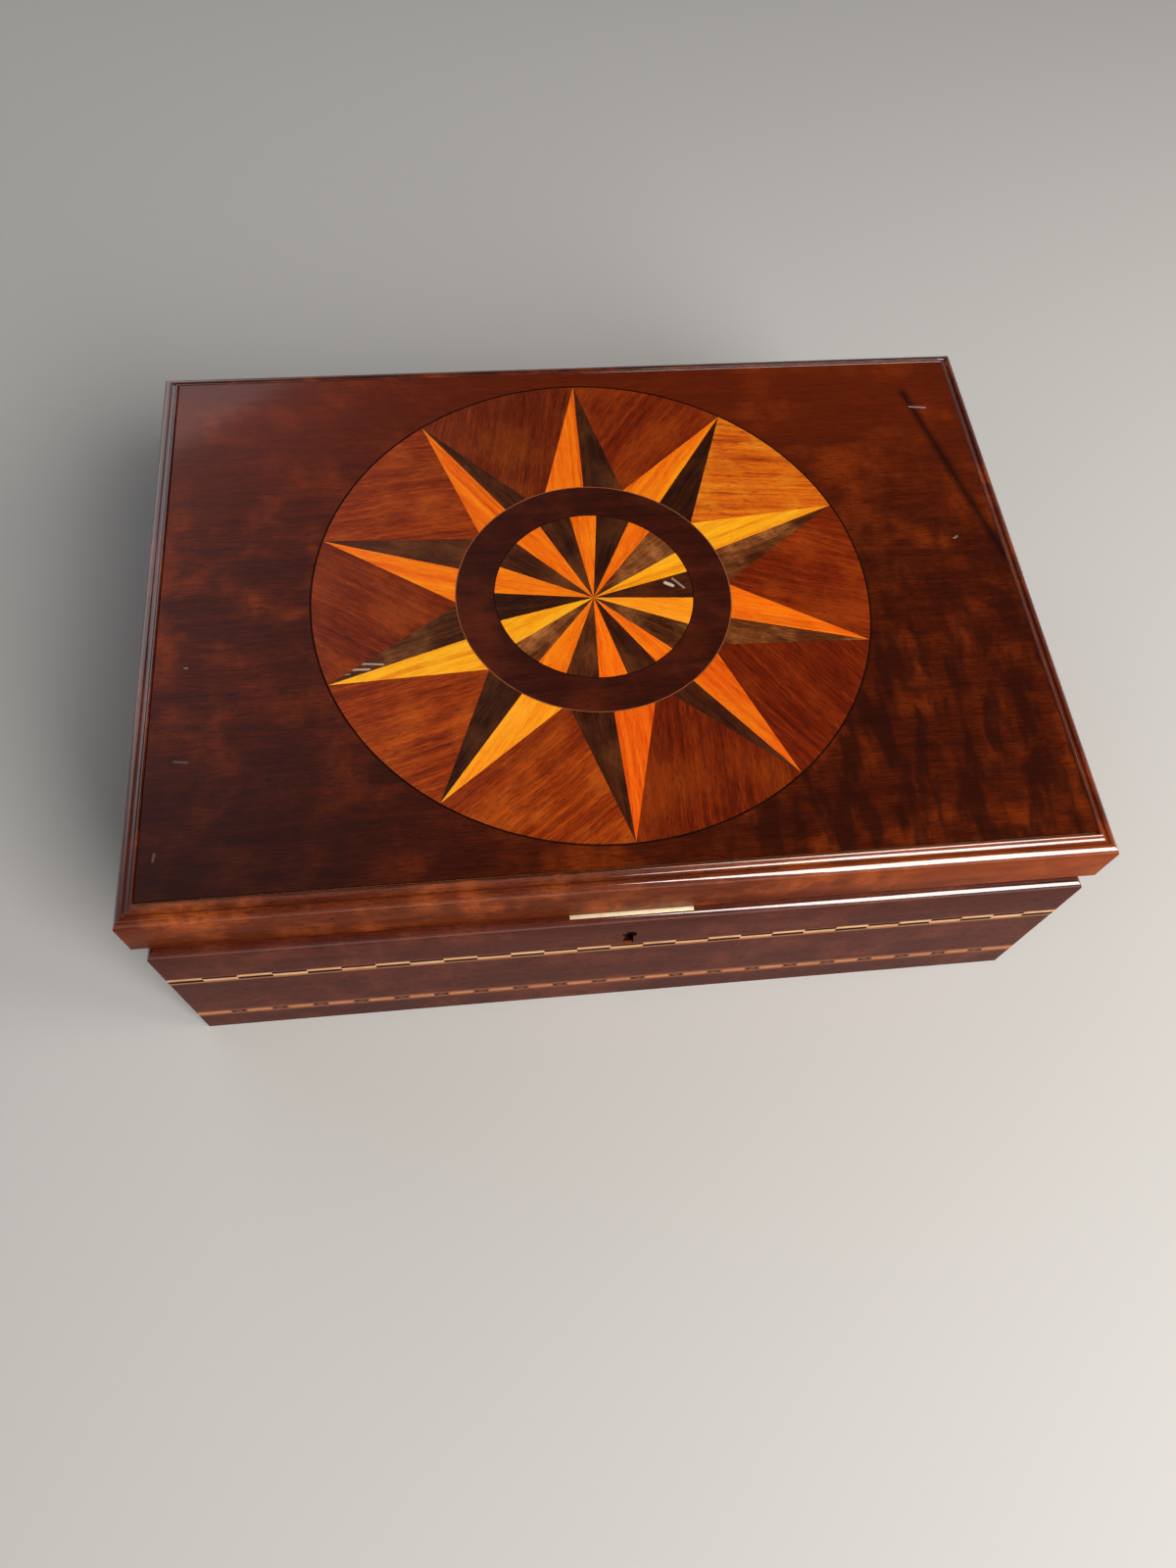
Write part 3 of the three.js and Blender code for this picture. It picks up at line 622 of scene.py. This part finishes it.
def star():
    """Ten points, each a light half beside a dark half, and the sectors between them."""
    rim = STAR_R - LINE
    angles = [FIRST_POINT - i * STEP + TIPS[i][0] for i in range(POINTS)]
    for i, (kind, along, tint) in enumerate(SECTORS):
        angle = angles[i]
        following = angles[i + 1] if i + 1 < POINTS else angles[0] - 360
        tip = polar(STAR, rim, angle)
        right = angle - TIPS[i][1]
        light = [tip, *arc(RING, RING_OUT, angle + HALF_POINT, angle)]
        dark = [tip, *arc(RING, RING_OUT, angle, right)]
        field = [*arc(STAR, rim, following, angle, 24), *arc(RING, RING_OUT, right, following + HALF_POINT)]
        veneer(f"light_half_{i + 1}", light, "yellow" if i in SHEEN_POINTS else "satin",
               angle, 3 + i, POINT_TINTS[i][0], (f"light_point_{i + 1}",))
        veneer(f"dark_half_{i + 1}", dark, "streaked" if i in STREAKED_POINTS else "rose",
               angle, 23 + i, POINT_TINTS[i][1], (f"dark_point_{i + 1}",))
        veneer(f"sector_{i + 1}", field, kind, along, 43 + i, tint, ("sector_field",))
    line = piece("star_line", annulus(circle(STAR, STAR_R), circle(STAR, rim), BED, TOP), WOODS["line"],
                 "lid")
    grain(line, (1, 0, 0), 60)


def ring():
    """The dark ring, with a thin brown line round it and a dark line inside it."""
    thin = 0.35 * MM
    layers = (("ring_outer_line", "box", "banding", RING_OUT, RING_OUT - thin, BROWN),
              ("ring_veneer", "ring", "ring_veneer", RING_OUT - thin, RING_IN + thin, PLAIN),
              ("ring_inner_line", "line", "dark_veneer", RING_IN + thin, RING_IN, PLAIN))
    for seed, (name, kind, slot, outer, inner, tint) in enumerate(layers):
        made = piece(name, annulus(circle(RING, outer), circle(RING, inner), BED, TOP), WOODS[kind],
                     "lid", ("ring",))
        grain(made, (1, 0, 0), 61 + seed, tint)


def rosette():
    """Twenty wedges, light and dark by turns, that meet a little in front of the ring's centre."""
    meet = Vector((RING.x - 0.4 * MM, RING.y - 1.8 * MM, 0))
    middles = [FIRST_POINT - i * STEP + WEDGES[i][0] for i in range(POINTS)]
    for i in range(POINTS):
        following = (i + 1) % POINTS
        half = WEDGES[i][1] / 2
        left, right = middles[i] + half, middles[i] - half
        end = middles[following] + WEDGES[following][1] / 2 - (360 if following == 0 else 0)
        veneer(f"light_wedge_{i + 1}", [meet, *arc(RING, RING_IN, right, left)],
               "yellow" if i in SHEEN_WEDGES else "satin", middles[i], 71 + i,
               WEDGE_TINTS[i][0], ("rosette",))
        veneer(f"dark_wedge_{i + 1}", [meet, *arc(RING, RING_IN, end, right)],
               "streaked" if i in STREAKED_WEDGES else "rose", (right + end) / 2, 91 + i,
               WEDGE_TINTS[i][1], ("rosette",))


def ground():
    """The panel's figured veneer, from the star's circle out to a slightly eased edge."""
    corners = [math.degrees(math.atan2(y - STAR.y, x - STAR.x)) % 360
               for x in (PANEL_LOW.x, PANEL_HIGH.x) for y in (PANEL_LOW.y, PANEL_HIGH.y)]
    angles = sorted(set([2.0 * i for i in range(180)] + corners))

    def to_edge(degrees):
        way = heading(degrees)
        reach = [((PANEL_HIGH if way[i] > 0 else PANEL_LOW)[i] - STAR[i]) / way[i]
                 for i in (0, 1) if abs(way[i]) > 1e-6]
        return polar(STAR, min(reach), degrees)

    bm = annulus([to_edge(a) for a in angles], [polar(STAR, STAR_R, a) for a in angles], BED, TOP)

    def at_rim(edge):
        far = all(v.co.z > TOP - 1e-6 and (v.co.xy - STAR.xy).length > STAR_R + MM for v in edge.verts)
        return far and is_arris(edge)

    made = piece("ground_veneer", bevel(bm, 0.35 * MM, 3, at_rim), WOODS["ground"], "lid",
                 ("panel_ground",))
    grain(made, (1, 0.02, 0), 1)


# ---------------------------------------------------------------- lid frame

def moulding():
    """The rail's section: distance in from the frieze, and height, from the rim up and over."""
    top, foot, board = LID_HIGH.z, LID_LOW.z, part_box("lid_board")[0].z
    edge = PANEL_LOW.x - LID_LOW.x - 0.05 * MM
    round_off = 2.9              # the ovolo's radius, in mm
    drop = 1.75                  # from the panel's top down to the ovolo's, in mm

    def curve(p0, p1, p2, steps):
        return [((1 - t) ** 2 * p0[0] + 2 * t * (1 - t) * p1[0] + t * t * p2[0],
                 (1 - t) ** 2 * p0[1] + 2 * t * (1 - t) * p1[1] + t * t * p2[1])
                for t in [i / steps for i in range(steps + 1)]]

    def at(x, below):
        return (x * MM, top - below * MM)

    ovolo = [at(round_off * (1 - math.cos(t)), drop + round_off * (1 - math.sin(t)))
             for t in [math.pi / 2 * i / 10 for i in range(11)]]
    quirk = [at(3, 2.05), at(3.1, 2.15)]
    hollow = curve(at(3.1, 2.15), at(4.4, 2.1), at(4.9, 1.25), 6)[1:]
    bead = curve(at(4.9, 1.25), at(5.1, 0.3), at(5.65, 0.3), 8)[1:]
    roll = curve(at(5.65, 0.3), at(6.25, 0.3), at(6.25, 1.3), 5)[1:]
    ease = curve((0.35 * MM, foot), (0, foot), (0, foot + 0.35 * MM), 3)
    return [(WALL, foot), *ease, *ovolo, *quirk, *hollow, *bead, *roll, (edge, top - 1.4 * MM),
            (edge, board), (WALL, board)]


TURNS = {"front": 0, "right": 90, "back": 180, "left": 270}
GRAIN_OF = {"front": (1, 0, 0), "back": (1, 0, 0), "left": (0, 1, 0), "right": (0, 1, 0)}
MITRED_CREASE = 28               # degrees, for the pieces of the frame and of the carcase


def side_of(side, low, high):
    """Half the length of a rectangle's side, and a function that turns a place along that side, in from
    it and up into X, Y and Z."""
    centre, half = (low + high) / 2, (high - low) / 2
    length, reach = (half.x, half.y) if side in ("front", "back") else (half.y, half.x)
    turn = TURNS[side]

    def spot(along, inward, height):
        place = heading(turn) * along + heading(turn + 90) * (inward - reach)
        return centre.x + place.x, centre.y + place.y, height

    return length, spot


def frame_side(section, side, low, high):
    """One of four mitred pieces round a rectangle, its outer face on the rectangle's side."""
    bm = bmesh.new()
    length, spot = side_of(side, low, high)
    ends = [[bm.verts.new(spot(end * (length - inward), inward, height)) for inward, height in section]
            for end in (-1, 1)]
    count = len(section)
    for i in range(count):
        j = (i + 1) % count
        bm.faces.new((ends[0][i], ends[0][j], ends[1][j], ends[1][i]))
    bm.faces.new(ends[0])
    bm.faces.new(ends[1][::-1])
    return bm


def carve(made, *cutters):
    """Cuts bmesh solids out of a piece, and keeps its rounded look."""
    for cutter in cutters:
        mesh = bpy.data.meshes.new("cutter")
        bmesh.ops.recalc_face_normals(cutter, faces=cutter.faces)
        cutter.to_mesh(mesh)
        cutter.free()
        tool = bpy.data.objects.new("cutter", mesh)
        bpy.context.scene.collection.objects.link(tool)
        change = made.modifiers.new("cut", "BOOLEAN")
        change.object = tool
        change.operation = "DIFFERENCE"
        change.solver = "EXACT"
        bpy.context.view_layer.update()
        depsgraph = bpy.context.evaluated_depsgraph_get()
        cut = bpy.data.meshes.new_from_object(made.evaluated_get(depsgraph))
        made.modifiers.clear()
        made.data = cut
        bpy.data.objects.remove(tool)
    soften(made.data, CREASE)
    return made


def rod(radius, start, end, sides=32):
    """A cylinder from one point to another."""
    bm = bmesh.new()
    start, end = Vector(start), Vector(end)
    way = end - start
    bmesh.ops.create_cone(bm, segments=sides, radius1=radius, radius2=radius, depth=way.length, cap_ends=True)
    turn = way.to_track_quat("Z", "Y").to_matrix().to_4x4()
    turn.translation = (start + end) / 2
    bmesh.ops.transform(bm, matrix=turn, verts=bm.verts)
    return bm


OVER = MM                        # how far a cutter runs past the face that it cuts
LEAF_THICK = 1.35 * MM


def hinge_cutters(z0, z1):
    """Room for both hinges' leaves between two heights, and for their knuckles."""
    cutters = []
    past = 0.1 * MM
    for side in ("left", "right"):
        low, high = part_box(f"hinge_{side}_base_leaf")
        axis = centre_of(f"hinge_{side}_pin")
        knuckle = high.y - axis.y + HALF_GAP
        cutters.append(block((low.x, low.y, z0), (high.x, BASE_HIGH.y + OVER, z1)))
        cutters.append(rod(knuckle, (low.x - past, axis.y, axis.z), (high.x + past, axis.y, axis.z)))
    return cutters


def link_cutters():
    """The link plate's seat in the lid's rim, and the holes of its two screws."""
    low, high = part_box("link_plate")
    y = (low.y + high.y) / 2
    seat_depth, hole_r, hole_depth, hole_x = 1.3 * MM, 0.9 * MM, 9 * MM, 11.2 * MM
    seat = block((low.x, low.y, LID_LOW.z - OVER), (high.x, high.y, LID_LOW.z + seat_depth))
    holes = [rod(hole_r, (x, y, low.z), (x, y, low.z + hole_depth)) for x in (-hole_x, hole_x)]
    return [seat, *holes]


def lid_frame():
    """Four mitred rails, the back one with room for the hinges and the front one for the link plate."""
    section = moulding()
    for i, side in enumerate(SIDES):
        made = piece(f"rail_{side}", frame_side(section, side, LID_LOW, LID_HIGH), WOODS["rail"], "lid",
                     (f"lid_rail_{side}",), MITRED_CREASE)
        if side == "front":
            carve(made, *link_cutters())
        if side == "back":
            carve(made, *hinge_cutters(LID_LOW.z - OVER, LID_LOW.z + LEAF_THICK))
        # The side and back rails are tinted darker than the front one: painted shade on the same wood.
        grain(made, GRAIN_OF[side], 5 + i, (0.74, 0.8, 1) if side == "front" else (0.62, 0.55, 0.6))


def boards():
    """The deal groundwork under the veneer, and the bottom let up into the walls."""
    for seed, (name, body) in enumerate((("lid_board", "lid"), ("bottom_board", "base"))):
        low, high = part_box(name)
        made = piece(f"{name}_deal", bevel(block(low, high), 0.4 * MM, 2), WOODS["pine"], body,
                     (name,))
        grain(made, (1, 0, 0), 120 + seed)


# ---------------------------------------------------------------- carcase

def band_heights(level):
    """Foot and head of a band's groove."""
    low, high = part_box(f"{level}_band_front")
    return low.z - HALF_GAP, high.z + HALF_GAP


def wall_section(banded):
    """A wall's section: distance in from its outer face, and height, anticlockwise from its foot."""
    foot, rim = BASE_LOW.z, BASE_HIGH.z
    round_off = 2.4 * MM
    ease = 0.35 * MM
    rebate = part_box("bottom_board")[1]
    seat = BASE_HIGH.x - rebate.x
    section = [(seat, foot), (ease, foot), (0, foot + ease)]
    if banded:
        for level in ("lower", "upper"):
            low, high = band_heights(level)
            section += [(0, low), (BAND_THICK, low), (BAND_THICK, high), (0, high)]
    section += [(round_off * (1 - math.cos(t)), rim - round_off * (1 - math.sin(t)))
                for t in [math.pi / 2 * i / 6 for i in range(7)]]
    return section + [(WALL - ease, rim), (WALL, rim - ease), (WALL, rebate.z), (seat, rebate.z)]


def keyhole_cutters():
    """The round of the keyhole, and its flared foot."""
    front, back = BASE_LOW.y - OVER, BASE_LOW.y + WALL
    pin = centre_of("lock_drill_pin")
    radius, wide, narrow = 2.5 * MM, 2.1 * MM, 1.15 * MM
    foot = band_heights("upper")[1] - 0.8 * MM
    flare = block((-1, front, foot), (1, back, pin.z))
    for vertex in flare.verts:
        vertex.co.x = math.copysign(wide if vertex.co.z < pin.z - MM else narrow, vertex.co.x)
    return [rod(radius, (0, front, pin.z), (0, back, pin.z)), flare]


def lock_cutters():
    """Room for the lock's brass strip in the rim, for its plate behind the wall and for its case."""
    plate_low, plate_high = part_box("lock_plate")
    cap_low, cap_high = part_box("lock_cap")
    above, inside = BASE_HIGH.z + OVER, BASE_LOW.y + WALL + OVER
    strip_thick, plate_thick = 1.6 * MM, 1.2 * MM
    return [block((plate_low.x, plate_low.y, plate_high.z - strip_thick), (plate_high.x, inside, above)),
            block((plate_low.x, plate_high.y - plate_thick, plate_low.z), (plate_high.x, inside, above)),
            block((cap_low.x, cap_low.y, cap_low.z), (cap_high.x, inside, above))]


def carcase():
    """Four mitred walls, the front one with room for the lock and the back one for the hinges."""
    for i, side in enumerate(SIDES):
        banded = side != "back"
        made = piece(f"wall_{side}", frame_side(wall_section(banded), side, BASE_LOW, BASE_HIGH),
                     WOODS["carcase"], "base", (f"{side}_wall",), MITRED_CREASE)
        if side == "front":
            carve(made, *lock_cutters(), *keyhole_cutters())
        if side == "back":
            carve(made, *hinge_cutters(BASE_HIGH.z - LEAF_THICK, BASE_HIGH.z + OVER))
        grain(made, GRAIN_OF[side], 11 + i)


# ---------------------------------------------------------------- inlaid bands

def strip(name, side, material, outlines, replaces, seed, tint):
    """Slips let into a wall's outer face, and mitred where they reach its ends. Each outline is a list of
    (along the face, height), with as many points as the others."""
    limit, spot = side_of(side, BASE_LOW, BASE_HIGH)
    bm = bmesh.new()
    for outline in outlines:
        rows = []
        for inward in (0, BAND_THICK):
            end = limit - inward
            rows.append([bm.verts.new(spot(min(max(x, -end), end), inward, z)) for x, z in outline])
        outer, inner = rows
        bm.faces.new(outer)
        bm.faces.new(inner[::-1])
        for i in range(len(outline)):
            j = (i + 1) % len(outline)
            bm.faces.new((outer[i], inner[i], inner[j], outer[j]))
    made = piece(name, bm, material, "base", replaces)
    return grain(made, GRAIN_OF[side], seed, tint, per=2 * len(outlines[0]))


def bar(start, end, low, high):
    """The outline of a rectangular slip."""
    return ((start, low), (end, low), (end, high), (start, high))


def places(length, about):
    """Start and end of each of the equal slips, of about a given size, that fill a length."""
    count = max(3, round(length / about))
    size = length / count
    return [(-length / 2 + i * size, -length / 2 + (i + 1) * size) for i in range(count)]


def upper_pattern(low, high, length):
    """Slips that change places by turns: cream over a dark bar over brown, then the dark bar over cream
    over brown, between two dark brown edges."""
    edge = 0.7 * MM
    inner_low, inner_high = low + edge, high - edge
    parts = {"cream": [], "dark": [], "brown": [],
             "edge": [bar(-length, length, low, inner_low), bar(-length, length, inner_high, high)]}
    for i, (start, end) in enumerate(places(length, 11 * MM)):
        order = (("cream", 1.8), ("dark", 2)) if i % 2 == 0 else (("dark", 1.6), ("cream", 1.7))
        head = inner_high
        for kind, height in order:
            parts[kind].append(bar(start, end, head - height * MM, head))
            head -= height * MM
        parts["brown"].append(bar(start, end, inner_low, head))
    return parts


def lower_pattern(low, high, length):
    """Pale slips with pointed ends, and where two meet a small brown lozenge between dark notches."""
    middle = (low + high) / 2
    half, line, side = 1.15 * MM, 2 * MM, 0.6 * MM   # half heights: a pale slip, with its lines, a lozenge
    point, shoulder = 2.1 * MM, 3.2 * MM             # from a joint back to a slip's tip and full height
    parts = {"cream": [], "dark": [],
             "brown": [bar(-length, length, middle - line, middle - half),
                       bar(-length, length, middle + half, middle + line)],
             "edge": [bar(-length, length, low, middle - line), bar(-length, length, middle + line, high)]}
    slips = places(length, 14.2 * MM)
    for i, (start, end) in enumerate(slips):
        last = i == len(slips) - 1
        left = (0, 0) if i == 0 else (point, shoulder)
        right = (0, 0) if last else (point, shoulder)
        parts["cream"].append(((start + left[0], middle), (start + left[1], middle - half),
                               (end - right[1], middle - half), (end - right[0], middle),
                               (end - right[1], middle + half), (start + left[1], middle + half)))
        if last:
            continue
        parts["brown"].append(((end - point, middle), (end, middle - side), (end + point, middle),
                               (end, middle + side)))
        for way in (-1, 1):
            parts["dark"].append(((end - shoulder, middle + way * half), (end - point, middle),
                                  (end, middle + way * side), (end + point, middle),
                                  (end + shoulder, middle + way * half)))
    return parts


# Each band's slips: their kind, their wood and their tint.
BAND_WOODS = {
    "upper": (("cream", "box", PLAIN), ("dark", "line", PLAIN), ("brown", "box", (0.5, 0.37, 0.28)),
              ("edge", "box", (0.24, 0.13, 0.08))),
    "lower": (("cream", "box", (0.76, 0.5, 0.34)), ("dark", "line", (2, 2, 2)),
              ("brown", "box", (0.33, 0.19, 0.14)), ("edge", "box", (0.24, 0.13, 0.1))),
}


def bands():
    """Both bands, across the front and along the sides."""
    for level, pattern in (("upper", upper_pattern), ("lower", lower_pattern)):
        low, high = band_heights(level)
        for seed, side in enumerate(("front", "left", "right")):
            length = BASE_HIGH.x - BASE_LOW.x if side == "front" else BASE_HIGH.y - BASE_LOW.y
            parts = pattern(low, high, length)
            for kind, material, tint in BAND_WOODS[level]:
                strip(f"{level}_{side}_{kind}", side, WOODS[material], parts[kind],
                      (f"{level}_band_{side}",), 130 + 10 * seed, tint)


# ---------------------------------------------------------------- hinges and lock

def fitting(node, material, body, ease=0.12 * MM):
    """A metal fitting with its CAD solid's shape and softened edges."""
    return piece(f"{node}_metal", bevel(from_cad(node), ease, 2), material, body, (node,))


def screw_slot(made, centre, face, way, turn):
    """Cuts the driver's slot across a screw's head; way is 1 when the head faces up, and face is its
    height."""
    reach, half_width, half_depth = 2.5 * MM, 0.22 * MM, 0.45 * MM
    cutter = block((-reach, -half_width, -half_depth), (reach, half_width, half_depth))
    bmesh.ops.rotate(cutter, verts=cutter.verts, matrix=Euler((0, 0, math.radians(turn))).to_matrix())
    bmesh.ops.translate(cutter, verts=cutter.verts, vec=(centre.x, centre.y, face - 0.05 * MM * way))
    return carve(made, cutter)


SCREW_R = 1.7 * MM               # a hinge screw's head
SCREW_DEPTH = MM
SCREW_PROUD = 0.04 * MM
SCREW_STEP = 13 * MM             # from one screw in a leaf to the next
SCREW_IN = 3.6 * MM              # from the leaf's front edge


def hinges():
    """Two butt hinges: their leaves and pins, and the heads of three screws in each leaf."""
    for side in ("left", "right"):
        for body, way, face in (("base", 1, BASE_HIGH.z), ("lid", -1, LID_LOW.z)):
            node = f"hinge_{side}_{body}_leaf"
            fitting(node, BRASS, body)
            front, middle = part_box(node)[0].y, centre_of(node).x
            for i in (-1, 0, 1):
                centre = Vector((middle + i * SCREW_STEP, front + SCREW_IN, 0))
                inner = Vector((centre.x, centre.y, face - SCREW_DEPTH * way))
                outer = Vector((centre.x, centre.y, face + SCREW_PROUD * way))
                head = bevel(rod(SCREW_R, inner, outer), 0.1 * MM)
                screw = piece(f"hinge_{side}_{body}_screw_{i + 2}", head, STEEL, body)
                screw_slot(screw, centre, face, way, 25 + 40 * i)
        fitting(f"hinge_{side}_pin", STEEL, "base", 0.2 * MM)


# The lock's parts and the link plate: node, metal, body and slot.
LOCK = (("lock_plate", WORN_BRASS, "base", "brass"), ("lock_cap", STEEL, "base", "steel"),
        ("lock_drill_pin", STEEL, "base", "steel"), ("lock_lever", BRASS, "base", "brass"),
        ("lock_lever_pivot", STEEL, "base", "steel"), ("lock_spring", STEEL, "base", "steel"),
        ("lock_bolt", BRASS, "bolt", "brass"), ("link_plate", BRASS, "lid", "brass"))


def lock():
    """The lock and the link plate, with their screws."""
    for node, material, body, slot in LOCK:
        fitting(node, material, body, 0.06 * MM if node == "lock_spring" else 0.12 * MM)
    for node, body, way in (("lock_screw_left", "base", 1), ("lock_screw_right", "base", 1),
                            ("link_screw_left", "lid", -1), ("link_screw_right", "lid", -1)):
        low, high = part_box(node)
        made = fitting(node, STEEL, body, 0.08 * MM)
        face = high.z if way > 0 else low.z
        screw_slot(made, centre_of(node), face, way, 35 if "left" in node else -20)


camera()
studio()
star()
ring()
rosette()
ground()
lid_frame()
boards()
carcase()
bands()
hinges()
lock()
